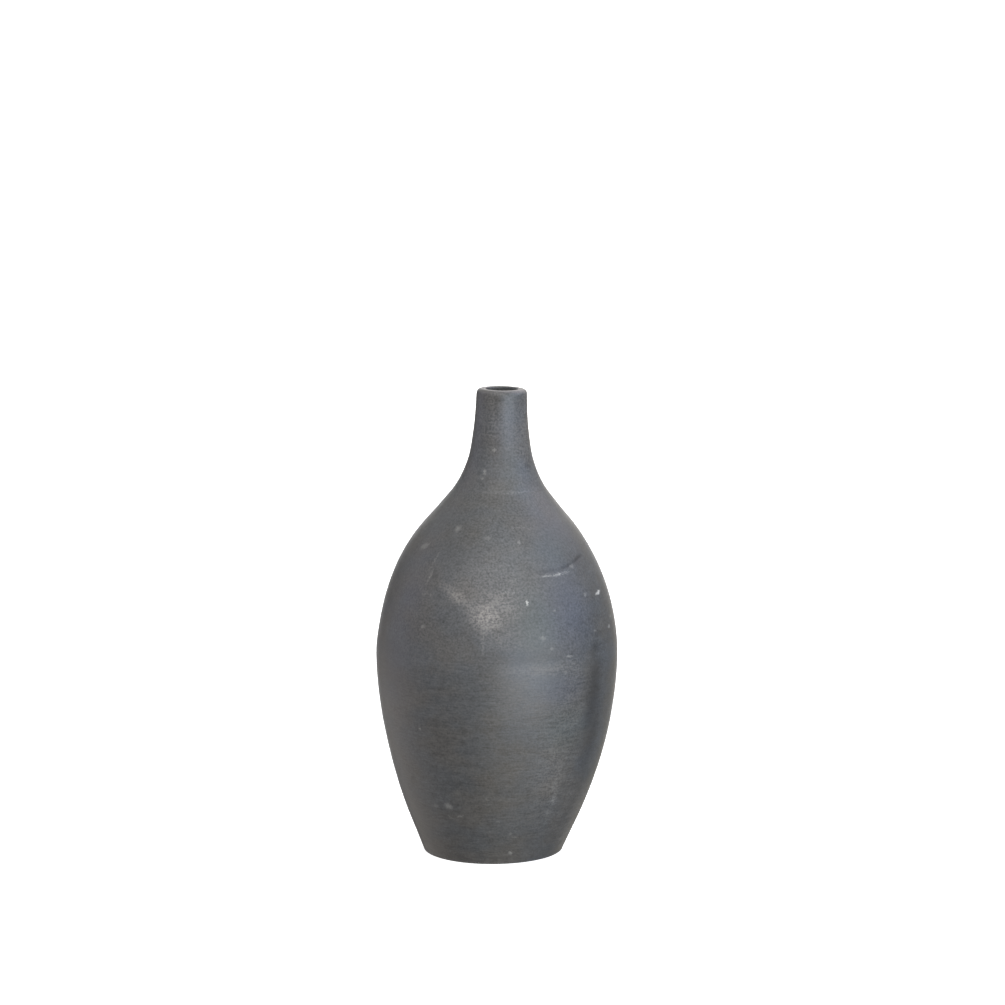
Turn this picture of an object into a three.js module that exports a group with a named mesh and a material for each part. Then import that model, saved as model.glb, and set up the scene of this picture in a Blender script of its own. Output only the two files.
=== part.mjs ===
// A stoneware bottle vase, thrown in three sections that were joined while the clay was soft.
// Millimetres, +Z up. The origin is under the middle of the belly, on the surface the vase stands on.
import * as THREE from "three";

// Driving dimensions.
const HEIGHT = 300;
const WALL = 5.2; // from the belly to the neck
const FOOT_WALL = 8; // where the wall leaves the floor
const THIN_FROM = 80; // height where the wall has thinned to WALL
const FLOOR_TOP = 9.5;
const FLOOR_EDGE_RADIUS = 24; // where the flat floor starts to curve up
const FLOOR_CORNER_TOP = 24; // where that curve meets the wall
const FOOT_RING_WIDTH = 10;
const RECESS_DEPTH = 2;
const LIP_ROUNDING = 3;
const LIP_CREST = 2.7; // how far in from the outer surface the top of the lip is
const LIP_EDGE = 1; // rounding of the lip's inner edge
const LIP_WALL = 5.9; // just under the lip, where the neck is thickest
const THICK_FROM = 262; // height where the wall starts to thicken towards the lip

// Where one section of the pot ends and the next begins, as heights on the outer surface.
const BELLY_SEAM = { low: 130.5, high: 138 };
const NECK_SEAM = { low: 237, high: 239.5 };
const BELLY_JOINT_DEPTH = 1.5; // of the V of each joint between sections
const NECK_JOINT_DEPTH = 0.8;
const JOINT_GAP = 0.3; // between two pieces that touch

const GLAZE_THICKNESS = 0.6;
const GLAZE_TOP = 297; // the liner glaze stops just under the lip

// The outer surface: its radius, and how far the turning axis has drifted along X, at each height.
const OUTSIDE = [
  { height: 0, radius: 44.5, drift: -2.8 },
  { height: 5, radius: 46.7, drift: -2.6 },
  { height: 40, radius: 61, drift: -1.3 },
  { height: 80, radius: 72, drift: -0.3 },
  { height: 115, radius: 77, drift: 0 },
  { height: 132, radius: 77.5, drift: 0.1 },
  { height: 150, radius: 75.5, drift: 0.4 },
  { height: 175, radius: 69.3, drift: 0.5 },
  { height: 195, radius: 60.5, drift: 0.5 },
  { height: 210, radius: 51, drift: 0.9 },
  { height: 225, radius: 38.5, drift: 1.5 },
  { height: 238, radius: 28.5, drift: 2.1 },
  { height: 255, radius: 21, drift: 2.8 },
  { height: 272, radius: 18, drift: 3.2 },
  { height: HEIGHT, radius: 15.9, drift: 3.8 },
];

const SEGMENTS = 40; // round the pot
const BELLY_STEP = 14; // height between two rows of points
const SHOULDER_FROM = 180; // above this height the outline bends faster
const SHOULDER_STEP = 7;
const CORNER_STEPS = 5;
const LIP_STEPS = 4; // in each rounded edge of the lip

const STONEWARE = { color: 0x5b5c5f, roughness: 0.55, metalness: 0 };
const SEAM_SLIP = { color: 0x66686c, roughness: 0.5, metalness: 0 };
const LINER_GLAZE = { color: 0x2b2420, roughness: 0.2, metalness: 0 };

// Slope of one column of OUTSIDE at entry i: the mean of the slopes on both sides, nearer one first.
function slopeAt(i, column) {
  const rise = (k) =>
    (OUTSIDE[k + 1][column] - OUTSIDE[k][column]) /
    (OUTSIDE[k + 1].height - OUTSIDE[k].height);
  const last = OUTSIDE.length - 1;
  if (i === 0) return rise(0);
  if (i === last) return rise(last - 1);
  const below = OUTSIDE[i].height - OUTSIDE[i - 1].height;
  const above = OUTSIDE[i + 1].height - OUTSIDE[i].height;
  return (rise(i - 1) * above + rise(i) * below) / (below + above);
}

// One column of OUTSIDE at any height, on a smooth curve through the entries.
function smooth(height, column) {
  let i = 0;
  while (i < OUTSIDE.length - 2 && OUTSIDE[i + 1].height <= height) i += 1;
  const low = OUTSIDE[i];
  const high = OUTSIDE[i + 1];
  const span = high.height - low.height;
  const t = (height - low.height) / span;
  return (
    (1 + 2 * t) * (1 - t) ** 2 * low[column] +
    t * (1 - t) ** 2 * span * slopeAt(i, column) +
    t ** 2 * (3 - 2 * t) * high[column] +
    t ** 2 * (t - 1) * span * slopeAt(i + 1, column)
  );
}

// A point of the wall, `depth` below the outer surface. The depth is square to the surface, but the
// point stays at the height asked for, so that a joint cut at one height is level.
function inWall(height, depth) {
  const probe = 0.01;
  const slope =
    (smooth(height + probe, "radius") - smooth(height - probe, "radius")) /
    (2 * probe);
  const across = depth * Math.hypot(1, slope);
  return new THREE.Vector2(smooth(height, "radius") - across, height);
}

// Thickness of the wall: thicker towards the foot, and again towards the lip.
function wallAt(height) {
  const lipBase = HEIGHT - LIP_ROUNDING;
  const foot = THREE.MathUtils.clamp(1 - height / THIN_FROM, 0, 1);
  const lip = THREE.MathUtils.clamp((height - THICK_FROM) / (lipBase - THICK_FROM), 0, 1);
  return WALL + (FOOT_WALL - WALL) * foot + (LIP_WALL - WALL) * lip;
}

// Heights of the rows of points from `low` to `high`, on one grid that all the pieces share.
function rows(low, high) {
  const grid = [];
  for (let z = BELLY_STEP; z < SHOULDER_FROM; z += BELLY_STEP) grid.push(z);
  for (let z = SHOULDER_FROM; z < HEIGHT; z += SHOULDER_STEP) grid.push(z);
  const clear = 1.5; // from the two ends
  const between = grid.filter((z) => z > low + clear && z < high - clear);
  return [low, ...between, high];
}

// The outline of a piece of wall, up its outer side and down its inner side.
function wallSides(low, high) {
  const heights = rows(low, high);
  return {
    outer: heights.map((z) => inWall(z, 0)),
    inner: heights.map((z) => inWall(z, wallAt(z))).reverse(),
  };
}

// The point of a V joint, halfway through the wall. It points down into the piece below.
function jointPoint(height, depth) {
  const middle = inWall(height, wallAt(height) / 2);
  return middle.setY(height - depth);
}

// The curve from the inside of the wall down to the floor, and the floor to the middle.
function floorInside(low) {
  const wall = inWall(low, wallAt(low));
  const corner = new THREE.Vector2(smooth(FLOOR_TOP, "radius") - FOOT_WALL, FLOOR_TOP);
  const edge = new THREE.Vector2(FLOOR_EDGE_RADIUS, FLOOR_TOP);
  const curve = new THREE.QuadraticBezierCurve(wall, corner, edge);
  return [...curve.getPoints(CORNER_STEPS), new THREE.Vector2(0, FLOOR_TOP)];
}

// A profile turned round +Z, then moved along X with the drift of the axis.
function turned(profile) {
  const geometry = new THREE.LatheGeometry(profile, SEGMENTS);
  geometry.rotateX(Math.PI / 2);
  const points = geometry.getAttribute("position");
  for (let i = 0; i < points.count; i += 1) {
    points.setX(i, points.getX(i) + smooth(points.getZ(i), "drift"));
  }
  geometry.computeVertexNormals();
  return geometry;
}

function piece(name, profile, look) {
  const mesh = new THREE.Mesh(turned(profile), new THREE.MeshStandardMaterial(look));
  mesh.name = name;
  return mesh;
}

// A ring of wall with a V tongue under it and a V groove on top.
function ring(name, low, high, tongue, groove, look) {
  const bottom = low + JOINT_GAP / 2;
  const top = high - JOINT_GAP / 2;
  const { outer, inner } = wallSides(bottom, top);
  const profile = [
    jointPoint(bottom, tongue),
    ...outer,
    jointPoint(top, groove),
    ...inner,
    jointPoint(bottom, tongue),
  ];
  return piece(name, profile, look);
}

// The bowl with the floor: turned foot ring, shallow recess, wall, and the groove of the belly joint.
function lowerBody() {
  const top = BELLY_SEAM.low - JOINT_GAP / 2;
  const recessRadius = smooth(0, "radius") - FOOT_RING_WIDTH;
  const outer = rows(0, top).map((z) => inWall(z, 0));
  const inner = rows(FLOOR_CORNER_TOP, top)
    .map((z) => inWall(z, wallAt(z)))
    .reverse();
  const profile = [
    new THREE.Vector2(0, RECESS_DEPTH),
    new THREE.Vector2(recessRadius - RECESS_DEPTH, RECESS_DEPTH),
    new THREE.Vector2(recessRadius, 0),
    ...outer,
    jointPoint(top, BELLY_JOINT_DEPTH),
    ...inner.slice(0, -1),
    ...floorInside(FLOOR_CORNER_TOP),
  ];
  return piece("lower_body", profile, STONEWARE);
}

// A quarter of an ellipse that ends at the top of the lip, or starts there.
function lipQuarter(middle, halfWidth, rise, from, to) {
  const curve = new THREE.EllipseCurve(middle, HEIGHT - rise, halfWidth, rise, from, to);
  return curve.getPoints(LIP_STEPS);
}

// The neck. Its lip is rounded over from the outside, flat on top, with a small inner edge.
function neck() {
  const bottom = NECK_SEAM.high + JOINT_GAP / 2;
  const { outer, inner } = wallSides(bottom, HEIGHT - LIP_ROUNDING);
  const crest = outer.at(-1).x - LIP_CREST;
  const edge = inner[0].x + LIP_EDGE;
  const profile = [
    jointPoint(bottom, NECK_JOINT_DEPTH),
    ...outer.slice(0, -1),
    ...lipQuarter(crest, LIP_CREST, LIP_ROUNDING, 0, Math.PI / 2),
    ...lipQuarter(edge, LIP_EDGE, LIP_EDGE, Math.PI / 2, Math.PI),
    ...inner,
    jointPoint(bottom, NECK_JOINT_DEPTH),
  ];
  return piece("neck", profile, STONEWARE);
}

// A path moved sideways, to the side of the axis as it runs down and across the floor.
function movedInward(path, distance) {
  return path.map((point, i) => {
    const before = path[Math.max(i - 1, 0)];
    const after = path[Math.min(i + 1, path.length - 1)];
    const along = after.clone().sub(before).normalize();
    const side = new THREE.Vector2(along.y, -along.x);
    const moved = point.clone().addScaledVector(side, distance);
    if (point.x === 0) moved.x = 0;
    return moved;
  });
}

// The liner glaze: a thin skin over the whole inside, from just under the lip to the floor.
function insideGlaze() {
  const wall = rows(FLOOR_CORNER_TOP, GLAZE_TOP)
    .map((z) => inWall(z, wallAt(z)))
    .reverse();
  const inside = [...wall.slice(0, -1), ...floorInside(FLOOR_CORNER_TOP)];
  const under = movedInward(inside, JOINT_GAP);
  const surface = movedInward(inside, JOINT_GAP + GLAZE_THICKNESS);
  return piece("inside_glaze", [...under.reverse(), ...surface], LINER_GLAZE);
}

const vase = new THREE.Group();
vase.name = "stoneware_bottle_vase";
vase.add(
  lowerBody(),
  ring(
    "belly_seam",
    BELLY_SEAM.low,
    BELLY_SEAM.high,
    BELLY_JOINT_DEPTH,
    BELLY_JOINT_DEPTH,
    SEAM_SLIP,
  ),
  ring(
    "upper_body",
    BELLY_SEAM.high,
    NECK_SEAM.low,
    BELLY_JOINT_DEPTH,
    NECK_JOINT_DEPTH,
    STONEWARE,
  ),
  ring(
    "neck_seam",
    NECK_SEAM.low,
    NECK_SEAM.high,
    NECK_JOINT_DEPTH,
    NECK_JOINT_DEPTH,
    SEAM_SLIP,
  ),
  neck(),
  insideGlaze(),
);

export default vase;
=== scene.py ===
"""A dark stoneware bottle vase on a white studio floor. Blender 4.5, metres, +Z up, front towards -Y."""
import math

import bpy
import numpy as np
from mathutils import Matrix, Vector


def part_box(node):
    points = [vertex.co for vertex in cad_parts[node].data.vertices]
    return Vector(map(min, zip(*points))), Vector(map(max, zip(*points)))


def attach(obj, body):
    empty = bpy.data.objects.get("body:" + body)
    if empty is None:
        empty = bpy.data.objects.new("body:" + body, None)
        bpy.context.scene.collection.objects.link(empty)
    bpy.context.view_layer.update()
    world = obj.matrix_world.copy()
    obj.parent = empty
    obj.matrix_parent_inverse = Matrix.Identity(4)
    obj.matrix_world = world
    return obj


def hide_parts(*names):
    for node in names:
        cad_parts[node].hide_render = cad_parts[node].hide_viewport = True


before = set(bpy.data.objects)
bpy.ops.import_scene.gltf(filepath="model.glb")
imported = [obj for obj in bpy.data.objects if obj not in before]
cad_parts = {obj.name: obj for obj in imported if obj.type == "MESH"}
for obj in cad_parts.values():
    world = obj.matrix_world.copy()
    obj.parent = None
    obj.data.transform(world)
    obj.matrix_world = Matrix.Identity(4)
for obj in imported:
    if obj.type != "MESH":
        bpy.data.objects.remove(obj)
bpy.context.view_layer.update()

MM = 0.001

# ---------------------------------------------------------------- camera
# The camera stands in front of the vase and looks a little down at a point in its shoulder.
CAMERA_DISTANCE = 3.207
CAMERA_ELEVATION = math.radians(10.29)
CAMERA_ROLL = math.radians(-0.19)
CAMERA_AIM = Vector((4.0 * MM, 0, 226.6 * MM))
CAMERA_LENS = 179.8
CAMERA_SENSOR = 36
CAMERA_CLIP = (0.05, 50)

# ---------------------------------------------------------------- shape of the clay
CLAY_NODES = ("lower_body", "belly_seam", "upper_body", "neck_seam", "neck")
FACES_OUT = 0.6  # how squarely a CAD face looks away from the axis when it is on the outside
SAME = 1e-5  # heights and radii closer than this are the same
WALL = 5.2 * MM
FOOT_WALL = 8 * MM
THIN_FROM = 80 * MM  # height where the wall has thinned to WALL
FLOOR_TOP = 9.5 * MM
FLOOR_EDGE_RADIUS = 24 * MM  # where the flat floor starts to curve up
FLOOR_CORNER_TOP = 24 * MM  # where that curve meets the wall
FOOT_RING_WIDTH = 10 * MM
FOOT_EDGE = 1.1 * MM  # rounding of the foot's outer edge
RECESS_DEPTH = 2 * MM
# From the recess down to the foot ring: how far out from the ring's inner edge, and height.
RECESS_STEP = ((-2.2 * MM, RECESS_DEPTH), (-1.2 * MM, 1.4 * MM), (-0.5 * MM, 0.3 * MM), (0.4 * MM, 0))
LIP_ROUNDING = 3 * MM
LIP_CREST = 2.7 * MM  # how far in from the outer surface the top of the lip is
LIP_EDGE = 1 * MM  # rounding of the lip's inner edge
LIP_WALL = 5.9 * MM
THICK_FROM = 262 * MM  # height where the wall starts to thicken towards the lip
LIP_FALL = Vector((0.022, 0.03))  # of the lip along +X and +Y, as slopes
LIP_LIFT = 0.4 * MM
LIP_UNEVEN_FROM = 270 * MM  # the fall and the lift grow from here to the top
JOINT_DEPTH = 1.5 * MM
NECK_JOINT_DEPTH = 0.8 * MM
GLAZE_GAP = 0.3 * MM
GLAZE_THICKNESS = 0.6 * MM
GLAZE_TOP = 297 * MM

COLUMNS = 192  # points round the pot
FINE_ROW = 0.36 * MM  # height between rows of points on the outside
COARSE_ROW = 5 * MM  # on the inside
BORE_ROW = 2 * MM  # in the neck's bore
GLAZE_ROW = 3 * MM  # on the liner glaze
FLOOR_CURVE_POINTS = 13
FOOT_EDGE_POINTS = 7
LIP_POINTS = 13  # in each rounded edge of the lip
SHARP_EDGE = math.radians(50)  # faces that meet at more than this aren't shaded smooth

# ---------------------------------------------------------------- relief of the clay
# How uneven the thrown clay is: cells in a turn, height of a cell, size and seed.
UNEVEN = {
    "line_wander": (5, 9 * MM, 0.35 * MM, 11),
    "line_strength": (7, 6 * MM, 0.45, 12),
    "ring_wander": (3, 20 * MM, 1.2 * MM, 13),
    "rings": (1, 5.5 * MM, 0.05 * MM, 14),
    "broken_rings": (6, 2.6 * MM, 0.014 * MM, 15),
    "seam": (17, 40 * MM, 0.25, 16),
    "dents": (6, 34 * MM, 0.12 * MM, 17),
    "small_dents": (14, 15 * MM, 0.035 * MM, 18),
    "lip": (9, 60 * MM, 0.12 * MM, 19),
    "foot": (11, 60 * MM, 0.15 * MM, 20),
}
NOISE_REACH = 340 * MM  # height that the noise covers
NOISE_BELOW = 2  # cells of it below the foot
LINE_PITCH = 1.45 * MM  # between two turning lines
LINE_DEPTH = 0.006 * MM
LINE_STRENGTH = 0.55  # on average, as a share of the depth
RINGS_FADE_TOP = 150 * MM  # throwing rings fade upwards over RINGS_FADE, to RINGS_LEAST
RINGS_FADE = 60 * MM
RINGS_LEAST = 0.35
SEAM_LINE = (-0.04 * MM, 0.5 * MM)  # height and width of the relief at each edge of the belly seam
SEAM_TOP_SHARE = 0.8  # of that line at the seam's upper edge
SEAM_BAND = (0.06 * MM, 3.6 * MM)  # of the seam between its edges
NECK_RIDGE = (0.03 * MM, 0.6 * MM)
GROOVE_TURN = (12, 61)  # where the finger groove starts and ends, in degrees from the front
GROOVE_FADE_IN = (10, 20)  # degrees between which it starts
GROOVE_FADE_OUT = (59, 65)  # and between which it ends
GROOVE_HEIGHT = 191.2 * MM  # at its start
GROOVE_RISE = 5.2 * MM  # from its start to its end
GROOVE_WIDTH = 0.9 * MM
GROOVE_DEPTH = (0.05 * MM, 0.2 * MM)  # at its start, and how much more at its end
GROOVE_LIP = (0.45, 2 * MM, 1.2 * MM)  # share of the depth, distance below the groove, and width
LIP_SWELL = (0.12 * MM, 3.2 * MM)
LIP_SWELL_BELOW = 4.5 * MM  # from the top of the lip down to the swell
LIP_RELIEF = 15 * MM  # height over which the lip gets uneven
FOOT_RELIEF = 12 * MM  # and over which the foot does


def outer_rings(node):
    """[height, radius, middle along X] of each ring of points on the outside of a turned CAD node."""
    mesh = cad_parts[node].data
    rings = {}
    for face in mesh.polygons:
        outward = Vector((face.center.x, face.center.y)).normalized()
        if face.normal.xy.dot(outward) < FACES_OUT:
            continue
        for i in face.vertices:
            point = mesh.vertices[i].co
            rings.setdefault(round(point.z, 6), []).append(point.x)
    return [[z, (max(xs) - min(xs)) / 2, (max(xs) + min(xs)) / 2] for z, xs in sorted(rings.items())]


def read_outline():
    """The outside of the whole pot as three arrays: heights, radii and middles along X."""
    rings = {}
    for node in CLAY_NODES:
        for height, radius, middle in outer_rings(node):
            rings[height] = (radius, middle)
    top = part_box("neck")[1].z - LIP_ROUNDING
    heights = np.array(sorted(z for z in rings if z < top + SAME))
    radii, middles = np.array([rings[z] for z in heights]).T
    return heights, radii, middles


def outer_span(node):
    """Lowest and highest height of the outside of a CAD node."""
    heights = [ring[0] for ring in outer_rings(node)]
    return min(heights), max(heights)


HEIGHTS, RADII, MIDDLES = read_outline()
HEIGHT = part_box("neck")[1].z
SEAM_LINES = outer_span("belly_seam")
NECK_LINE = sum(outer_span("neck_seam")) / 2


def smooth(values, height):
    """values, known at HEIGHTS, on a smooth curve at any height."""
    height = np.asarray(height, float)
    span = np.diff(HEIGHTS)
    rise = np.diff(values) / span
    slope = np.empty(len(HEIGHTS))
    slope[0], slope[-1] = rise[0], rise[-1]
    slope[1:-1] = (rise[:-1] * span[1:] + rise[1:] * span[:-1]) / (span[:-1] + span[1:])
    i = np.clip(np.searchsorted(HEIGHTS, height, side="right") - 1, 0, len(HEIGHTS) - 2)
    t = np.clip((height - HEIGHTS[i]) / span[i], 0, None)
    return (
        (1 + 2 * t) * (1 - t) ** 2 * values[i]
        + t * (1 - t) ** 2 * span[i] * slope[i]
        + t**2 * (3 - 2 * t) * values[i + 1]
        + t**2 * (t - 1) * span[i] * slope[i + 1]
    )


def radius_at(height):
    return smooth(RADII, height)


def middle_at(height):
    return smooth(MIDDLES, height)


def wall_at(height):
    """Thickness of the wall: thicker towards the foot, and again towards the lip."""
    lip_base = HEIGHT - LIP_ROUNDING
    return np.interp(height, [0, THIN_FROM, THICK_FROM, lip_base], [FOOT_WALL, WALL, WALL, LIP_WALL])


def in_wall(height, depth):
    """Points (radius, height) in the wall. The depth is square to the outside, the height is kept."""
    height = np.asarray(height, float)
    probe = 0.05 * MM
    slope = (radius_at(height + probe) - radius_at(height - probe)) / (2 * probe)
    return np.stack([radius_at(height) - depth * np.sqrt(1 + slope**2), height], -1)


def uneven(name, angle, height):
    """A row of UNEVEN at a place on the pot: smooth noise about 0 of the row's size."""
    around, pitch, size, seed = UNEVEN[name]
    rng = np.random.default_rng(seed)
    rows = int(NOISE_REACH / pitch) + 2 * NOISE_BELOW
    grid = rng.uniform(-1, 1, (rows, around))
    u = np.asarray(angle) / math.tau * around
    last = rows - 1.001  # just inside the last cell
    v = np.clip(np.asarray(height) / pitch + NOISE_BELOW, 0, last)
    i, j = np.floor(v).astype(int), np.floor(u).astype(int)
    fv, fu = eased(v - i), eased(u - j)
    i1 = np.minimum(i + 1, rows - 1)
    j0, j1 = j % around, (j + 1) % around
    low = grid[i, j0] * (1 - fu) + grid[i, j1] * fu
    high = grid[i1, j0] * (1 - fu) + grid[i1, j1] * fu
    return (low * (1 - fv) + high * fv) * size


def eased(share):
    """0 to 1, starting and ending gently."""
    return share**2 * (3 - 2 * share)


def share_of(value, low, high):
    """How far value is from low to high, held at 0 and 1."""
    return np.clip((value - low) / (high - low), 0, 1)


def bump(distance, shape):
    """A soft bump of a height and width that falls off with distance."""
    height, width = shape
    return height * np.exp(-((distance / width) ** 2))


def from_front(angle):
    """Degrees from the front of the pot, more to the viewer's right, from -180 to 180."""
    return (np.degrees(angle) + 270) % 360 - 180


def turning_lines(angle, height):
    """Fine grooves that the turning tool left, each a little uneven round the pot."""
    phase = (height + uneven("line_wander", angle, height)) / LINE_PITCH * math.tau
    return np.sin(phase) * (LINE_STRENGTH + uneven("line_strength", angle, height)) * LINE_DEPTH


def throwing_rings(angle, height):
    """Broader rings from the fingers, most in the lower half."""
    moved = height + uneven("ring_wander", angle, height)
    rings = uneven("rings", 0 * angle, moved) + uneven("broken_rings", angle, height)
    return rings * np.clip((RINGS_FADE_TOP - height) / RINGS_FADE, RINGS_LEAST, 1)


def seam_relief(angle, height):
    """A shallow line at each edge of the belly seam, and a thin ridge at the foot of the neck."""
    low, high = SEAM_LINES
    lines = bump(height - low, SEAM_LINE) + SEAM_TOP_SHARE * bump(height - high, SEAM_LINE)
    band = bump(height - (low + high) / 2, SEAM_BAND)
    ridge = bump(height - NECK_LINE, NECK_RIDGE)
    strength = 1 - UNEVEN["seam"][2] + uneven("seam", angle, height)
    return (lines + band + ridge) * strength


def finger_groove(angle, height):
    """The curved groove on the right of the shoulder, deepest at its right-hand end."""
    turn = from_front(angle)
    along = share_of(turn, *GROOVE_TURN)
    ends = share_of(turn, *GROOVE_FADE_IN) * (1 - share_of(turn, *GROOVE_FADE_OUT))
    across = height - (GROOVE_HEIGHT + GROOVE_RISE * along**3)
    lip_share, lip_below, lip_width = GROOVE_LIP
    cut = bump(across, (1, GROOVE_WIDTH)) - bump(across + lip_below, (lip_share, lip_width))
    start_depth, more_depth = GROOVE_DEPTH
    return -cut * ends * (start_depth + more_depth * along**2)


def lip_relief(angle, height):
    """The lip swells a little, and is uneven."""
    swell = bump(height - (HEIGHT - LIP_SWELL_BELOW), LIP_SWELL)
    return swell + uneven("lip", angle, height) * share_of(height, HEIGHT - LIP_RELIEF, HEIGHT)


def foot_relief(angle, height):
    """The foot's edge is uneven."""
    return uneven("foot", angle, height) * (1 - share_of(height, 0, FOOT_RELIEF))


def relief(angle, height):
    """How far the outside stands proud of the CAD outline: the marks of making, and small dents."""
    dents = uneven("dents", angle, height) + uneven("small_dents", angle, height)
    marks = turning_lines(angle, height) + throwing_rings(angle, height)
    marks += seam_relief(angle, height) + finger_groove(angle, height)
    return marks + dents + lip_relief(angle, height) + foot_relief(angle, height)


def turned_mesh(name, outline, weights):
    """A closed mesh from an outline of (radius, height), turned round the pot's own wandering axis.

    weights says how much of the relief each point of the outline takes.
    """
    angles = np.arange(COLUMNS) * math.tau / COLUMNS
    radius = outline[:, :1] + 0 * angles
    height = outline[:, 1:] + 0 * angles
    angle = 0 * outline[:, :1] + angles
    radius = radius + relief(angle, height) * weights[:, None]
    x = radius * np.cos(angle)
    y = radius * np.sin(angle)
    share = eased(share_of(height, LIP_UNEVEN_FROM, HEIGHT))
    z = height + (LIP_LIFT - x * LIP_FALL.x - y * LIP_FALL.y) * share
    x = x + middle_at(height)
    on_axis = outline[:, 0] < SAME
    verts, index, rings = [], 0, []
    for k in range(len(outline)):
        if on_axis[k]:
            verts.append((x[k, 0], 0.0, z[k, 0]))
            rings.append([index] * COLUMNS)
            index += 1
        else:
            verts.extend(zip(x[k], y[k], z[k]))
            rings.append(list(range(index, index + COLUMNS)))
            index += COLUMNS
    closed = not (on_axis[0] and on_axis[-1])
    pairs = list(zip(rings, rings[1:])) + ([(rings[-1], rings[0])] if closed else [])
    faces = []
    for low, high in pairs:
        for k in range(COLUMNS):
            corners = (low[k], low[(k + 1) % COLUMNS], high[(k + 1) % COLUMNS], high[k])
            face = tuple(dict.fromkeys(corners))
            if len(face) > 2:
                faces.append(face)
    mesh = bpy.data.meshes.new(name)
    mesh.from_pydata(verts, [], faces)
    mesh.update()
    return mesh


def rows_between(low, high, step):
    return np.linspace(low, high, max(2, int(round((high - low) / step)) + 1))


def joint_point(height, depth):
    """The point of a V joint, halfway through the wall, down in the piece below."""
    return in_wall(height, wall_at(height) / 2)[None] - (0, depth)


def ring_outline(low, high, tongue, groove):
    """Outline and relief weights of a ring of wall between two joints."""
    outer = in_wall(rows_between(low, high, FINE_ROW), 0)
    inside = rows_between(low, high, COARSE_ROW)
    inner = in_wall(inside, wall_at(inside))[::-1]
    outline = np.concatenate([outer, joint_point(high, groove), inner, joint_point(low, tongue)])
    weights = np.zeros(len(outline))
    weights[: len(outer)] = 1
    return outline, weights


def floor_inside():
    """From the inside of the wall down round the corner to the middle of the floor."""
    start = in_wall(FLOOR_CORNER_TOP, wall_at(FLOOR_CORNER_TOP))
    corner = np.array([radius_at(FLOOR_TOP) - FOOT_WALL, FLOOR_TOP])
    edge = np.array([FLOOR_EDGE_RADIUS, FLOOR_TOP])
    t = np.linspace(0, 1, FLOOR_CURVE_POINTS)[:, None]
    curve = (1 - t) ** 2 * start + 2 * t * (1 - t) * corner + t**2 * edge
    flat = [[FLOOR_EDGE_RADIUS * share, FLOOR_TOP] for share in (0.66, 0.33, 0)]
    return np.concatenate([curve, flat])


def foot_outline(high, groove):
    """Outline and weights of the bowl with the floor, from the middle of its underside."""
    ring_edge = radius_at(0) - FOOT_RING_WIDTH
    under = [[0, RECESS_DEPTH], [ring_edge / 2, RECESS_DEPTH]]
    under += [[ring_edge + out, height] for out, height in RECESS_STEP]
    turn = np.linspace(-math.pi / 2, 0, FOOT_EDGE_POINTS)
    edge = np.stack([np.cos(turn), np.sin(turn)], -1) * FOOT_EDGE
    edge += (radius_at(FOOT_EDGE) - FOOT_EDGE, FOOT_EDGE)
    outer = in_wall(rows_between(FOOT_EDGE, high, FINE_ROW), 0)[1:]
    inside = rows_between(FLOOR_CORNER_TOP, high, COARSE_ROW)
    inner = in_wall(inside, wall_at(inside))[::-1][:-1]
    parts = [np.array(under), edge, outer, joint_point(high, groove), inner, floor_inside()]
    outline = np.concatenate(parts)
    weights = np.zeros(len(outline))
    start = len(under) + len(edge)
    weights[start : start + len(outer)] = 1
    return outline, weights


def quarter(middle, half_width, rise, start):
    """A quarter of an ellipse with its highest point at the top of the lip."""
    turn = np.linspace(start, start + math.pi / 2, LIP_POINTS)
    return np.stack([middle + half_width * np.cos(turn), HEIGHT - rise + rise * np.sin(turn)], -1)


def neck_outline(low, tongue):
    """Outline and weights of the neck, over the lip and down the bore."""
    base = HEIGHT - LIP_ROUNDING
    outer = in_wall(rows_between(low, base, FINE_ROW), 0)[:-1]
    crest = radius_at(base) - LIP_CREST
    edge = in_wall(base, LIP_WALL)[0] + LIP_EDGE
    rounded = quarter(crest, LIP_CREST, LIP_ROUNDING, 0)
    across = np.array([0.25, 0.5, 0.75])
    flat = [[crest + (edge - crest) * share, HEIGHT] for share in across]
    inner_edge = quarter(edge, LIP_EDGE, LIP_EDGE, math.pi / 2)
    inside = rows_between(low, base, BORE_ROW)
    inner = in_wall(inside, wall_at(inside))[::-1]
    outline = np.concatenate([outer, rounded, flat, inner_edge, inner, joint_point(low, tongue)])
    weights = np.zeros(len(outline))
    outside = len(outer) + len(rounded)
    weights[:outside] = 1
    weights[outside : outside + len(flat)] = 1 - across
    return outline, weights


def glaze_outline():
    """The liner glaze: a skin that follows the inside from just under the lip to the floor."""
    inside = rows_between(FLOOR_CORNER_TOP, GLAZE_TOP, GLAZE_ROW)
    path = np.concatenate([in_wall(inside, wall_at(inside))[::-1][:-1], floor_inside()])
    along = np.gradient(path, axis=0)
    along /= np.linalg.norm(along, axis=1)[:, None]
    side = np.stack([along[:, 1], -along[:, 0]], -1)
    side[-1] = (0, 1)
    under = path + side * GLAZE_GAP
    surface = path + side * (GLAZE_GAP + GLAZE_THICKNESS)
    rim = (under[:1] + surface[:1]) / 2 + (0, GLAZE_THICKNESS / 2)
    outline = np.concatenate([under[::-1], rim, surface])
    return outline, np.zeros(len(outline))


def make_piece(node, outline, weights, material):
    """A finished piece that stands for one CAD node."""
    mesh = turned_mesh(node + "_fine", outline, weights)
    piece = bpy.data.objects.new(node + "_fine", mesh)
    bpy.context.scene.collection.objects.link(piece)
    mesh.materials.append(material)
    mesh.shade_smooth()
    mesh.set_sharp_from_angle(angle=SHARP_EDGE)
    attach(piece, "root")
    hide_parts(node)
    return piece


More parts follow.
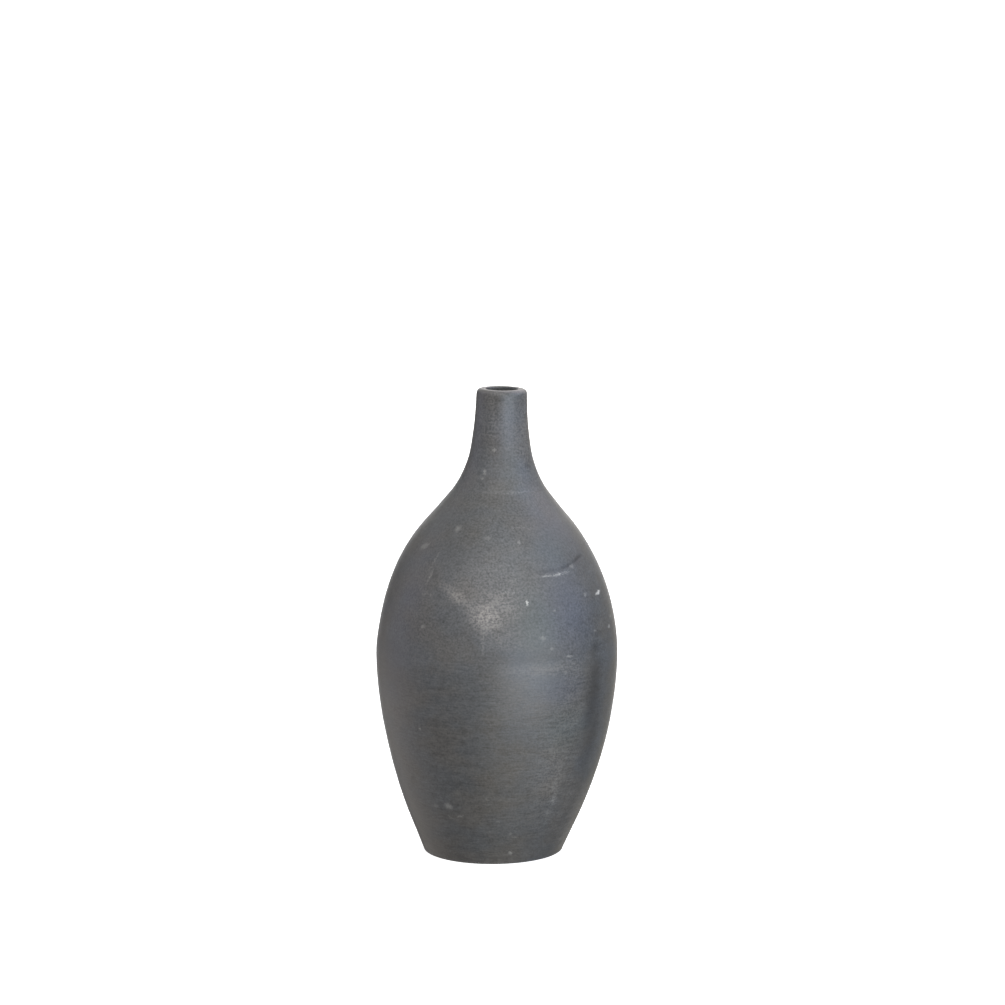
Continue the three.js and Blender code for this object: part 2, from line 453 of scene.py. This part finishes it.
# ---------------------------------------------------------------- materials, in millimetres
RAGGED_SCALE = 0.8  # of the noise that makes the edges of marks ragged, in cells per millimetre
RAGGED_SPREAD = 3.0  # from the furthest that it moves an edge one way to the furthest the other way
SEED_STEPS = (7.3, 3.1, 5.7)  # how far apart the noises of two seeds are, in cells
NOISE_GAIN = 8.0  # brings most of a noise texture to -1 to 1
MARK_DEPTH = 30  # least reach of a mark into the pot
MIX_FIRST, MIX_SECOND, MIX_RESULT = 6, 7, 2  # the colour sockets of a Mix node


class Surface:
    """A procedural material. Its calls add nodes and return sockets. Sizes are millimetres."""

    def __init__(self, name):
        self.material = bpy.data.materials.new(name)
        self.material.use_nodes = True
        self.tree = self.material.node_tree
        self.shader = self.tree.nodes["Principled BSDF"]
        metres = self.add("TexCoord").outputs["Object"]
        self.place = self.vector("MULTIPLY", metres, (1 / MM, 1 / MM, 1 / MM))
        self.height = self.add("SeparateXYZ", Vector=self.place).outputs["Z"]
        jitter = self.add("TexNoise", Vector=self.place, Scale=RAGGED_SCALE, Detail=2.0).outputs["Color"]
        jitter = self.vector("SUBTRACT", jitter, (0.5, 0.5, 0.5))
        jitter = self.vector("MULTIPLY", jitter, (RAGGED_SPREAD, RAGGED_SPREAD, RAGGED_SPREAD))
        self.ragged = self.vector("ADD", self.place, jitter)

    def put(self, socket, value):
        if isinstance(value, bpy.types.NodeSocket):
            self.tree.links.new(value, socket)
        else:
            socket.default_value = value

    def add(self, kind, settings=None, **inputs):
        node = self.tree.nodes.new("ShaderNode" + kind)
        for key, value in (settings or {}).items():
            setattr(node, key, value)
        for key, value in inputs.items():
            self.put(node.inputs[key], value)
        return node

    def math(self, operation, first, second=0.0):
        node = self.add("Math", {"operation": operation})
        self.put(node.inputs[0], first)
        self.put(node.inputs[1], second)
        return node.outputs[0]

    def vector(self, operation, first, second):
        node = self.add("VectorMath", {"operation": operation})
        self.put(node.inputs[0], first)
        self.put(node.inputs[1], second)
        return node.outputs[0]

    def mix(self, factor, first, second):
        node = self.add("Mix", {"data_type": "RGBA"})
        self.put(node.inputs[0], factor)
        self.put(node.inputs[MIX_FIRST], first)
        self.put(node.inputs[MIX_SECOND], second)
        return node.outputs[MIX_RESULT]

    def span(self, value, low, high, to_low=0.0, to_high=1.0):
        """value's span from low to high, eased and moved to another span, and held at its ends."""
        node = self.add("MapRange", {"interpolation_type": "SMOOTHSTEP"}, Value=value)
        ends = {"From Min": low, "From Max": high, "To Min": to_low, "To Max": to_high}
        for key, number in ends.items():
            node.inputs[key].default_value = number
        return node.outputs["Result"]

    def noise(self, across, up, seed):
        """Noise about 0, mostly from -1 to 1, in cells of a size across the pot and up it."""
        scaled = self.vector("MULTIPLY", self.place, (1 / across, 1 / across, 1 / up))
        moved = self.vector("ADD", scaled, [seed * step for step in SEED_STEPS])
        value = self.add("TexNoise", Vector=moved, Scale=1.0, Detail=2.0).outputs[0]
        return self.math("MULTIPLY", self.math("SUBTRACT", value, 0.5), NOISE_GAIN)

    def total(self, parts, weights, base=0.0):
        """base, plus each of the named parts that weights has a weight for."""
        total = base
        for name, weight in weights.items():
            total = self.math("ADD", self.math("MULTIPLY", parts[name], weight), total)
        return total

    def relief(self, height, strength, distance):
        """Bump for detail too fine for the mesh. The distance is metres."""
        node = self.add("Bump", Height=height, Strength=strength, Distance=distance)
        self.put(self.shader.inputs["Normal"], node.outputs[0])

    def mark(self, strength, angle, height, length, width, tilt=0, soft=0.75):
        """strength on an oval mark and 0 off it. The angle is from the front, the tilt from level."""
        turn = math.radians(angle)
        radius = radius_at(height * MM) / MM
        middle = middle_at(height * MM) / MM
        reach = (1 + soft) / 2  # from the middle to the outer end of the soft edge, in lengths
        oval = self.add("TexGradient", {"gradient_type": "SPHERICAL"}, Vector=self.ragged)
        place = oval.texture_mapping
        place.vector_type = "TEXTURE"
        place.translation = (middle + radius * math.sin(turn), -radius * math.cos(turn), height)
        place.rotation = (0, -math.radians(tilt), turn)
        place.scale = (length * reach, max(length, MARK_DEPTH) * reach, width * reach)
        return self.span(oval.outputs[1], 0, soft / reach, 0, strength)

    def marks(self, rows):
        """The strongest of many marks. A row is what mark() takes."""
        strongest = 0.0
        for row in rows:
            strongest = self.math("MAXIMUM", self.mark(*row), strongest)
        return strongest


# ---------------------------------------------------------------- marks of use and firing, and painted highlights and shade
# Each row is a mark: strength, degrees from the front (more to the right), height, length, width,
# tilt and softness.
FLECKS = (
    (0.28, -12.3, 263.7, 2.0, 1.8),
    (0.26, -25.5, 250, 1.8, 3.6),
    (0.22, -27.5, 246, 1.4, 2),
    (0.18, -34, 216.7, 4, 3, 20),
    (0.14, -7.7, 212.7, 3.5, 2.4),
    (0.2, 15.3, 210.1, 1.8, 1.6),
    (0.15, -57, 204.2, 7, 3, 20),
    (0.16, 49.7, 192.6, 3, 1.8),
    (1.0, 66.4, 173.4, 7, 1.8, 8, 0.6),
    (0.18, 53, 174.8, 3, 1.6),
    (0.9, 15.7, 174.6, 1.6, 2.8, 0, 0.6),
    (0.2, 30.3, 168.6, 1.8, 1.4),
    (0.18, 22.5, 152.6, 3.4, 2.2, -20),
    (0.16, 27, 145.2, 2.2, 1.6),
    (0.24, 36, 139.3, 4.6, 1.3, -5),
    (0.13, 34, 129.4, 2.8, 1.8),
    (0.3, 70.7, 150.8, 4, 1.8),
    (0.22, 76, 156.1, 4, 1.4),
    (0.2, 55.3, 151.8, 2.4, 1.4),
    (0.18, -39.3, 157.7, 3, 1.6),
    (0.22, -41, 91.5, 1.8, 1.5),
    (0.2, -29, 40.4, 4.8, 3.6, -15),
    (0.1, -38.5, 39.4, 4, 2),
    (0.07, -22, 50.4, 4, 3.5),
    (0.1, -5.3, 47.1, 2, 1.6),
    (0.09, 2.3, 31, 2.4, 2),
    (0.12, 11, 22.1, 2.6, 1.8),
    (0.1, 14.3, 19.4, 2.6, 1.6),
    (0.36, 13, 8.2, 2.2, 1.9),
    (0.5, 118, 188, 3, 2.4),
    (0.3, 131, 92, 2.4, 1.8),
    (0.6, 158, 149, 2.2, 3),
    (0.3, -172, 214, 2.6, 2),
    (0.4, -141, 61, 3.4, 2.2, 20),
    (0.3, -118, 176, 2, 2.4),
    (0.3, -104, 108, 2.4, 1.8),
)
# Scratches, and a painted highlight along the finger groove.
SCRATCHES_AND_GROOVE_HIGHLIGHT = (
    (0.09, 16, 237.9, 30, 1.1, -1.5, 0.9),
    (0.08, 23, 217.8, 16, 0.9, -3, 0.9),
    (0.13, -42.2, 196.5, 13, 1.2, 75, 0.9),
    (0.17, -41.6, 187.5, 8.5, 1.2, 72, 0.9),
    # painted highlight along the lower edge of the finger groove
    (0.4, 29.5, 189.4, 6, 1.0, 0, 0.85),
    (0.6, 37.5, 189.4, 7, 1.1, 2, 0.85),
    (0.3, 44, 190, 5, 1.0, 8, 0.85),
    (0.2, 6.3, 181, 13, 0.9, -1, 0.9),
    (0.16, 9.8, 188.2, 5, 0.9, 0, 0.9),
    (0.12, -39.5, 177.6, 10, 1, 3, 0.9),
    (0.12, -6.7, 151, 1.8, 14, 0, 0.9),
    (0.18, -29.3, 33.2, 3.4, 1.2, -35, 0.9),
    (0.18, -21.5, 34.2, 5, 1.2, 12, 0.9),
    (0.07, 36.7, 63.6, 3, 7, 0, 0.9),
    (0.1, 34.5, 53.5, 3, 12, -8, 0.9),
    (0.16, 36.5, 44.5, 3.4, 9, 0, 0.9),
    (0.08, 35, 34, 3, 9, 0, 0.9),
    (0.4, 104, 170, 12, 1.1, 14, 0.8),
    (0.3, 146, 108, 20, 1, -4, 0.9),
    (0.5, -155, 186, 9, 1.2, 25, 0.8),
    (0.25, -128, 130, 14, 1, 70, 0.9),
)
# Stains, and painted shade: in the finger groove, and a painted dark reflection down the right of the
# belly.
STAINS_AND_PAINTED_SHADE = (
    (0.45, 51.3, 252.9, 4, 3.4),
    (0.3, -3.7, 295.5, 6, 3, 0, 0.9),
    (0.34, -38.2, 189.8, 5, 6.5, 15, 0.9),
    (0.2, -33, 176.5, 5, 4, 0, 0.9),
    (0.26, 48.3, 212.7, 6, 1.3, 10, 0.9),
    # painted shade in the finger groove
    (0.5, 31, 192.2, 18, 2.4, 0, 0.9),
    (0.6, 44, 193, 14, 2.8, 8, 0.9),
    (0.65, 57, 195.4, 13, 3.6, 14, 0.9),
    (0.36, -2, 99.8, 1.8, 1.6),
    (0.3, -42.5, 90.5, 2, 1.6),
    (0.4, -53.3, 56, 4, 2.6),
    (0.22, -18.3, 64.5, 1.8, 1.6),
    (0.2, -33, 11.2, 5, 1.8),
    (0.14, 9, 94.2, 14, 1, 2, 0.9),
    (0.14, 19, 92.6, 15, 1, -3, 0.9),
    (0.14, 22, 144, 9, 1.2, 0, 0.9),
    (0.12, -38, 99, 60, 1.4, 4, 0.9),
    (0.1, 28, 81, 50, 1.4, -5, 0.9),
    # a painted dark reflection: a dark stripe down the right of the belly
    (0.45, 54, 141, 8, 8, 0, 0.9),
    (0.5, 53, 110, 12, 48, -5, 0.9),
    (0.34, 56, 84, 12, 44, -4, 0.9),
    (0.4, 165, 174, 5, 7, 10, 0.9),
    (0.3, -126, 96, 12, 40, 6, 0.9),
    (0.3, 122, 140, 16, 3, 8, 0.9),
)
# Painted shade: soft darker places on the shoulders, the belly, the left edge and the foot.
PAINTED_SHADE = (
    (0.24, 40, 208, 40, 50, 0, 0.9),
    (0.22, -36, 208, 36, 56, 0, 0.9),
    (0.12, 36, 176, 16, 24, 0, 0.9),
    (0.2, 16, 141, 54, 9, 0, 0.9),
    (0.4, -66, 126, 46, 28, 0, 0.9),
    (0.5, -72, 10, 36, 34, 0, 0.9),
    (0.14, -68, 34, 36, 50, 0, 0.9),
    (0.1, -1, 70, 44, 64, 0, 0.9),
    (0.14, -165, 90, 90, 60, 0, 0.9),
)
# A rubbed, paler patch on the front, and painted highlights.
RUBBED_AND_HIGHLIGHTS = (
    (1.0, -5.2, 167, 18, 16, -20, 0.85),
    (0.4, -6, 160, 10, 12, 0, 0.9),
    (0.55, -11, 170, 20, 8, -32, 0.9),
    (0.6, -22, 178.5, 22, 6.5, -29, 0.9),
    (0.2, 1, 155, 18, 14, 0, 0.9),
    (0.5, -1, 173.5, 27, 18, 0, 0.9),
    (0.22, -4, 186, 44, 34, 0, 0.9),
    (0.1, 4, 204, 50, 36, 0, 0.9),
    (0.17, 24, 132.6, 44, 6.5, 0, 0.9),
    (0.22, 38, 132.8, 14, 7, 0, 0.9),
    # painted highlights on the right of the belly and at its lower right edge
    (0.14, 38, 104, 20, 60, 0, 0.9),
    (0.2, 33, 60, 24, 70, 0, 0.9),
    (0.1, 42, 42, 26, 46, 0, 0.9),
    (0.32, 70, 22, 24, 52, 0, 0.9),
    # painted highlights on the neck
    (0.3, 72, 276, 20, 60, 0, 0.9),
    (0.16, -16, 284, 16, 26, 0, 0.9),
    (0.6, -148, 160, 40, 20, 14, 0.9),
    (0.4, 134, 178, 34, 26, -20, 0.9),
    (0.4, 170, 60, 44, 16, 6, 0.9),
)
# Bluish places, partly a painted blue sheen of the highlight on the right of the belly.
BLUISH_AND_SHEEN = (
    (1.0, 39, 166, 32, 46, 0, 0.9),
    (0.8, 33, 118, 26, 20, 0, 0.9),
    (0.6, 12, 276, 14, 26, 0, 0.9),
    (0.5, -50, 176, 16, 14, 0, 0.9),
    (1.0, 142, 120, 60, 50, 0, 0.9),
    (1.0, -122, 190, 50, 40, 0, 0.9),
)
GREENISH = (
    (0.9, 19, 160, 22, 34, 0, 0.9),
    (0.8, 40, 204, 24, 22, 0, 0.9),
    (0.8, 35, 92, 28, 26, 0, 0.9),
    (0.8, -160, 130, 40, 40, 0, 0.9),
)
# Colours of the marks. The stain colour is also that of painted shade. The rubbed and the fleck colours
# are also those of painted highlights. The bluish colour is partly a painted blue sheen.
FLECK_AND_HIGHLIGHT_COLOUR = (0.42, 0.41, 0.385, 1)
STAIN_AND_SHADE_COLOUR = (0.018, 0.0175, 0.018, 1)
RUBBED_AND_HIGHLIGHT_COLOUR = (0.25, 0.232, 0.214, 1)
BLUISH_AND_SHEEN_COLOUR = (0.064, 0.068, 0.084, 1)
GREENISH_COLOUR = (0.062, 0.072, 0.07, 1)
LIP_COLOUR = (0.12, 0.112, 0.112, 1)

# ---------------------------------------------------------------- the clay
# Its colours where it is cool and where it is warm, and how dark the painted shade in its pits is.
STONEWARE = ((0.0685, 0.071, 0.0735, 1), (0.074, 0.0715, 0.068, 1), 0.5)
SEAM_SLIP = ((0.0705, 0.0735, 0.077, 1), (0.075, 0.0735, 0.071, 1), 0.25)

# Noises in the clay: size across the pot, size up it and seed.
CLAY_NOISES = {
    "streak": (22, 1.6, 1),
    "line": (5, 0.9, 2),
    "grain": (1.35, 1.25, 3),
    "mottle": (6, 4.5, 4),
    "cloud": (45, 30, 5),
    "hue": (26, 20, 6),
}
GRAINY_FROM, GRAINY_TO = 110, 170  # heights between which the surface turns from lined to grainy
LINES_ABOVE = 0.32  # share of the lines that is left above
PITS_BELOW = 0.35  # share of the pits' darkness that is left below
GRAIN_BELOW, GRAIN_ABOVE = 0.12, 0.18

# How much of each pattern goes into what is made of them.
LINED = {"streak": 0.05, "line": 0.085}
TONE = {"lined": 1.0, "grainy": 1.0, "mottle": 0.042, "cloud": 0.03}
RUB_AND_HIGHLIGHT_PATTERN = {"grain": 0.75, "line": 0.4, "streak": 0.25}
SCRATCH_AND_HIGHLIGHT_PATTERN = {"grain": 0.8, "line": 0.4}
LIP_BORDER = {"height": 1.0, "mottle": 0.5}
ROUGHER = {"streak": 0.012, "grain": 0.02, "mottle": 0.012, "rubbed_and_highlights": 0.12}
CLAY_RELIEF = {"lined": 9.0, "grainy": 4.0, "pit": -1.4}

# Spans: from, to, and what these become if not 0 and 1.
HUE_SPAN = (-1.3, 1.3)
RUB_AND_HIGHLIGHT_SPAN = (-1.2, 1.2, 0.25, 1.0)
SCRATCH_AND_HIGHLIGHT_SPAN = (-0.9, 0.9, 0.35, 1.0)
LIP_WORN = (-1.6, 0.2)  # heights from the top of the pot between which the lip gets worn
PIT_SPAN = (0.1, 0.26, 1.0, 0.0)  # distance from the middle of a pit
PIT_CHOSEN = (0.7, 0.9)  # of a random number for each cell, so that few cells have a pit

PIT_SCALE = 0.42  # cells per millimetre
BLUISH_AND_SHEEN_SHARE = 0.65
GREENISH_SHARE = 0.6
LIP_SHARE = 0.35
CLAY_ROUGHNESS = 0.43
CLAY_RELIEF_HEIGHT = 0.02 * MM
CLAY_RELIEF_STRENGTH = 0.6


def clay_parts(look):
    """The patterns in the clay by name, among them the masks of its marks and of painted highlights."""
    parts = {name: look.noise(*sizes) for name, sizes in CLAY_NOISES.items()}
    parts["height"] = look.height
    upper = look.span(look.height, GRAINY_FROM, GRAINY_TO)
    lower = look.math("SUBTRACT", 1.0, upper)
    lines = look.total(parts, LINED)
    parts["lined"] = look.math("MULTIPLY", lines, look.span(lower, 0, 1, LINES_ABOVE, 1.0))
    grain_share = look.span(upper, 0, 1, GRAIN_BELOW, GRAIN_ABOVE)
    parts["grainy"] = look.math("MULTIPLY", parts["grain"], grain_share)
    parts["pit"] = look.math("MULTIPLY", clay_pits(look), look.span(upper, 0, 1, PITS_BELOW, 1.0))
    rub_and_highlight = look.span(look.total(parts, RUB_AND_HIGHLIGHT_PATTERN), *RUB_AND_HIGHLIGHT_SPAN)
    parts["rubbed_and_highlights"] = look.math("MULTIPLY", look.marks(RUBBED_AND_HIGHLIGHTS), rub_and_highlight)
    broken = look.span(look.total(parts, SCRATCH_AND_HIGHLIGHT_PATTERN), *SCRATCH_AND_HIGHLIGHT_SPAN)
    parts["scratched"] = look.math("MULTIPLY", look.marks(SCRATCHES_AND_GROOVE_HIGHLIGHT), broken)
    return parts


def clay_pits(look):
    """1 in small round pits that are scattered over the surface."""
    cells = look.add("TexVoronoi", Vector=look.place, Scale=PIT_SCALE)
    number = look.add("SeparateColor", Color=cells.outputs["Color"]).outputs[0]
    pit = look.span(cells.outputs["Distance"], *PIT_SPAN)
    return look.math("MULTIPLY", pit, look.span(number, *PIT_CHOSEN))


def clay_tints(look, parts, cool, warm):
    """The colour of the unworn clay, from cool to warm, with its greenish areas and its bluish ones,
    which are partly a painted blue sheen.
    """
    top = HEIGHT / MM
    colour = look.mix(look.span(parts["hue"], *HUE_SPAN), cool, warm)
    bluish_and_sheen = look.math("MULTIPLY", look.marks(BLUISH_AND_SHEEN), BLUISH_AND_SHEEN_SHARE)
    colour = look.mix(bluish_and_sheen, colour, BLUISH_AND_SHEEN_COLOUR)
    greenish = look.math("MULTIPLY", look.marks(GREENISH), GREENISH_SHARE)
    colour = look.mix(greenish, colour, GREENISH_COLOUR)
    lip = look.span(look.total(parts, LIP_BORDER), *[top + height for height in LIP_WORN])
    colour = look.mix(look.math("MULTIPLY", lip, LIP_SHARE), colour, LIP_COLOUR)
    tone = look.total(parts, TONE, 1.0)
    return look.add("VectorMath", {"operation": "SCALE"}, Vector=colour, Scale=tone).outputs[0]


def clay_wear(look, parts, colour, pit_shade):
    """The colour with the rubbed, stained, scratched and pitted places on it, with painted highlights
    and painted shade, and with painted shade in the pits.
    """
    colour = look.mix(parts["rubbed_and_highlights"], colour, RUBBED_AND_HIGHLIGHT_COLOUR)
    stain_and_shade = look.math("MAXIMUM", look.marks(STAINS_AND_PAINTED_SHADE), look.marks(PAINTED_SHADE))
    colour = look.mix(stain_and_shade, colour, STAIN_AND_SHADE_COLOUR)
    light = look.math("MAXIMUM", look.marks(FLECKS), parts["scratched"])
    colour = look.mix(light, colour, FLECK_AND_HIGHLIGHT_COLOUR)
    return look.mix(look.math("MULTIPLY", parts["pit"], pit_shade), colour, STAIN_AND_SHADE_COLOUR)


def clay_look(name, cool, warm, pit_shade):
    """Dark stoneware with a satin surface: turning lines, mottling, pits and the marks of use, with
    painted highlights and shade.
    """
    look = Surface(name)
    parts = clay_parts(look)
    colour = clay_wear(look, parts, clay_tints(look, parts, cool, warm), pit_shade)
    look.put(look.shader.inputs["Base Color"], colour)
    look.put(look.shader.inputs["Roughness"], look.total(parts, ROUGHER, CLAY_ROUGHNESS))
    look.relief(look.total(parts, CLAY_RELIEF), CLAY_RELIEF_STRENGTH, CLAY_RELIEF_HEIGHT)
    return look.material


# ---------------------------------------------------------------- the liner glaze
# Noises as for the clay, and the spans that they are turned into.
GLAZE_POOLS = (9, 14, 1)
GLAZE_POOL_SPAN = (-1.2, 1.2)
GLAZE_GLOSS = (3, 3, 2)
GLAZE_GLOSS_SPAN = (-1.5, 1.5, 0.16, 0.26)
GLAZE_RIPPLE = (6, 6, 3)
GLAZE_DARK = (0.020, 0.014, 0.011, 1)
GLAZE_POOL = (0.042, 0.030, 0.022, 1)
# Painted light on the inner wall at the left of the mouth.
GLAZE_PAINTED_LIGHT = (0.15, 0.148, 0.15, 1)
PAINTED_LIGHT_ACROSS = (4, 0.5)  # along X, so that the painted light is on the left of the mouth
PAINTED_LIGHT_UP = (291, 296)  # and only near its top
GLAZE_RIPPLE_HEIGHT = 0.05 * MM
GLAZE_RIPPLE_STRENGTH = 0.3


def liner_glaze():
    """Shiny dark brown glaze, with painted light on its left side near the mouth."""
    look = Surface("liner_glaze")
    pool = look.span(look.noise(*GLAZE_POOLS), *GLAZE_POOL_SPAN)
    colour = look.mix(pool, GLAZE_DARK, GLAZE_POOL)
    across = look.add("SeparateXYZ", Vector=look.ragged).outputs["X"]
    painted_light = look.math("MULTIPLY", look.span(across, *PAINTED_LIGHT_ACROSS), look.span(look.height, *PAINTED_LIGHT_UP))
    look.put(look.shader.inputs["Base Color"], look.mix(painted_light, colour, GLAZE_PAINTED_LIGHT))
    gloss = look.span(look.noise(*GLAZE_GLOSS), *GLAZE_GLOSS_SPAN)
    look.put(look.shader.inputs["Roughness"], gloss)
    look.relief(look.noise(*GLAZE_RIPPLE), GLAZE_RIPPLE_STRENGTH, GLAZE_RIPPLE_HEIGHT)
    return look.material


# ---------------------------------------------------------------- the studio
# The floor gives off some light of its own, so that it is as white as the backdrop.
FLOOR_SIZE = 24
FLOOR_PALE = (0.9, 0.9, 0.9, 1)
FLOOR_GREY = (0.88, 0.88, 0.88, 1)
FLOOR_TINT = (300, 300, 1)
FLOOR_ROUGHNESS = 0.8
FLOOR_GLOW = 0.75


def floor_look():
    """Plain pale studio paper."""
    look = Surface("floor")
    tint = look.span(look.noise(*FLOOR_TINT), -1, 1)
    look.put(look.shader.inputs["Base Color"], look.mix(tint, FLOOR_PALE, FLOOR_GREY))
    look.shader.inputs["Roughness"].default_value = FLOOR_ROUGHNESS
    look.shader.inputs["Emission Color"].default_value = (1, 1, 1, 1)
    look.shader.inputs["Emission Strength"].default_value = FLOOR_GLOW
    return look.material


def build_vase():
    """The pieces, each from its outline, with its material, and the name of the slot that it would be
    painted by, which is not used.
    """
    belly_low, belly_high = outer_span("belly_seam")
    neck_low, neck_high = outer_span("neck_seam")
    belly_ring = ring_outline(belly_low, belly_high, JOINT_DEPTH, JOINT_DEPTH)
    shoulder = ring_outline(belly_high, neck_low, JOINT_DEPTH, NECK_JOINT_DEPTH)
    neck_ring = ring_outline(neck_low, neck_high, NECK_JOINT_DEPTH, NECK_JOINT_DEPTH)
    clay = clay_look("stoneware", *STONEWARE)
    slip = clay_look("seam_slip", *SEAM_SLIP)
    pieces = (
        ("lower_body", foot_outline(belly_low, JOINT_DEPTH), clay, "stoneware"),
        ("belly_seam", belly_ring, slip, "seam_slip"),
        ("upper_body", shoulder, clay, "stoneware"),
        ("neck_seam", neck_ring, slip, "seam_slip"),
        ("neck", neck_outline(neck_high, NECK_JOINT_DEPTH), clay, "stoneware"),
        ("inside_glaze", glaze_outline(), liner_glaze(), "liner_glaze"),
    )
    for node, (outline, weights), material, slot in pieces:
        piece = make_piece(node, outline, weights, material)


def build_camera():
    """The camera, CAMERA_DISTANCE in front of what it looks at."""
    data = bpy.data.cameras.new("camera")
    data.lens = CAMERA_LENS
    data.sensor_width = CAMERA_SENSOR
    camera = bpy.data.objects.new("camera", data)
    bpy.context.scene.collection.objects.link(camera)
    back = Vector((0, -math.cos(CAMERA_ELEVATION), math.sin(CAMERA_ELEVATION)))
    turn = (-back).to_track_quat("-Z", "Y").to_matrix().to_4x4()
    camera.matrix_world = (
        Matrix.Translation(CAMERA_AIM + back * CAMERA_DISTANCE)
        @ turn
        @ Matrix.Rotation(CAMERA_ROLL, 4, "Z")
    )
    data.clip_start, data.clip_end = CAMERA_CLIP
    bpy.context.scene.camera = camera


def build_floor():
    """A floor that is seen, but neither shades the vase nor lights it."""
    mesh = bpy.data.meshes.new("floor")
    half = FLOOR_SIZE / 2
    corners = [(-half, -half, 0), (half, -half, 0), (half, half, 0), (-half, half, 0)]
    mesh.from_pydata(corners, [], [(0, 1, 2, 3)])
    floor = bpy.data.objects.new("floor", mesh)
    bpy.context.scene.collection.objects.link(floor)
    mesh.materials.append(floor_look())
    floor.visible_diffuse = False
    floor.visible_glossy = False
    floor.visible_shadow = False


# Light from all round: its colour at the horizon and straight up.
WORLD_ENDS = ((0.5, (0.12, 0.12, 0.12, 1)), (1.0, (1.1, 1.1, 1.04, 1)))
BACKDROP = (1, 1, 1, 1)
LIGHT_DISTANCE = 2.0

# Soft panels: azimuth from the camera, elevation, width and height as seen from the vase in degrees,
# and radiance in red, green and blue.
PANELS = {
    "key": (36, 28, 58, 50, (1.2, 1.3, 1.35)),
    "key_low": (30, -9, 50, 28, (3.8, 4.3, 5.0)),
    "front": (-14, 30, 42, 50, (1.1, 1.0, 1.0)),
    "left_front": (-62, 20, 50, 60, (0.4, 0.4, 0.45)),
    "side": (80, 30, 30, 44, (1.1, 1.4, 2.1)),
    "left": (-105, 10, 36, 60, (0.5, 0.5, 0.65)),
    "low_left": (-118, -28, 60, 44, (0.7, 0.65, 0.6)),
    "low": (20, -38, 60, 30, (1.1, 0.9, 0.6)),
    "back_right": (140, 50, 60, 50, (1.2, 1.1, 1.3)),
    "back_low": (165, -5, 50, 60, (0.45, 0.4, 0.3)),
    "behind": (180, 0, 40, 40, (1.6, 1.6, 1.6)),
}


def build_world():
    """White behind the vase, and a soft light from all round that fades downwards."""
    world = bpy.data.worlds.new("studio")
    world.use_nodes = True
    tree = world.node_tree
    background = tree.nodes["Background"]
    direction = tree.nodes.new("ShaderNodeTexCoord").outputs["Generated"]
    split = tree.nodes.new("ShaderNodeSeparateXYZ")
    tree.links.new(direction, split.inputs[0])
    ramp = tree.nodes.new("ShaderNodeValToRGB")
    position = tree.nodes.new("ShaderNodeMapRange")
    position.inputs["From Min"].default_value = -1
    tree.links.new(split.outputs["Z"], position.inputs["Value"])
    tree.links.new(position.outputs[0], ramp.inputs[0])
    for element, (place, colour) in zip(ramp.color_ramp.elements, WORLD_ENDS):
        element.position = place
        element.color = colour
    seen = tree.nodes.new("ShaderNodeLightPath").outputs["Is Camera Ray"]
    mix = tree.nodes.new("ShaderNodeMix")
    mix.data_type = "RGBA"
    mix.inputs[MIX_SECOND].default_value = BACKDROP
    tree.links.new(seen, mix.inputs[0])
    tree.links.new(ramp.outputs[0], mix.inputs[MIX_FIRST])
    tree.links.new(mix.outputs[MIX_RESULT], background.inputs["Color"])
    bpy.context.scene.world = world
    bpy.context.scene.view_settings.view_transform = "Standard"


def build_panel(name, azimuth, elevation, width, height, radiance):
    """A soft panel that faces the middle of the vase from LIGHT_DISTANCE."""
    data = bpy.data.lights.new(name, "AREA")
    data.shape = "RECTANGLE"
    data.size = 2 * LIGHT_DISTANCE * math.tan(math.radians(width / 2))
    data.size_y = 2 * LIGHT_DISTANCE * math.tan(math.radians(height / 2))
    strongest = max(radiance)
    data.color = [part / strongest for part in radiance]
    data.energy = strongest * math.pi * data.size * data.size_y
    turn, rise = math.radians(azimuth), math.radians(elevation)
    away = Vector((math.sin(turn) * math.cos(rise), -math.cos(turn) * math.cos(rise), math.sin(rise)))
    light = bpy.data.objects.new(name, data)
    bpy.context.scene.collection.objects.link(light)
    light.location = Vector((0, 0, HEIGHT / 2)) + away * LIGHT_DISTANCE
    light.rotation_euler = away.to_track_quat("Z", "Y").to_euler()
    light.visible_camera = False


def build_lights():
    for name, panel in PANELS.items():
        build_panel(name, *panel)


build_camera()
build_vase()
build_floor()
build_world()
build_lights()
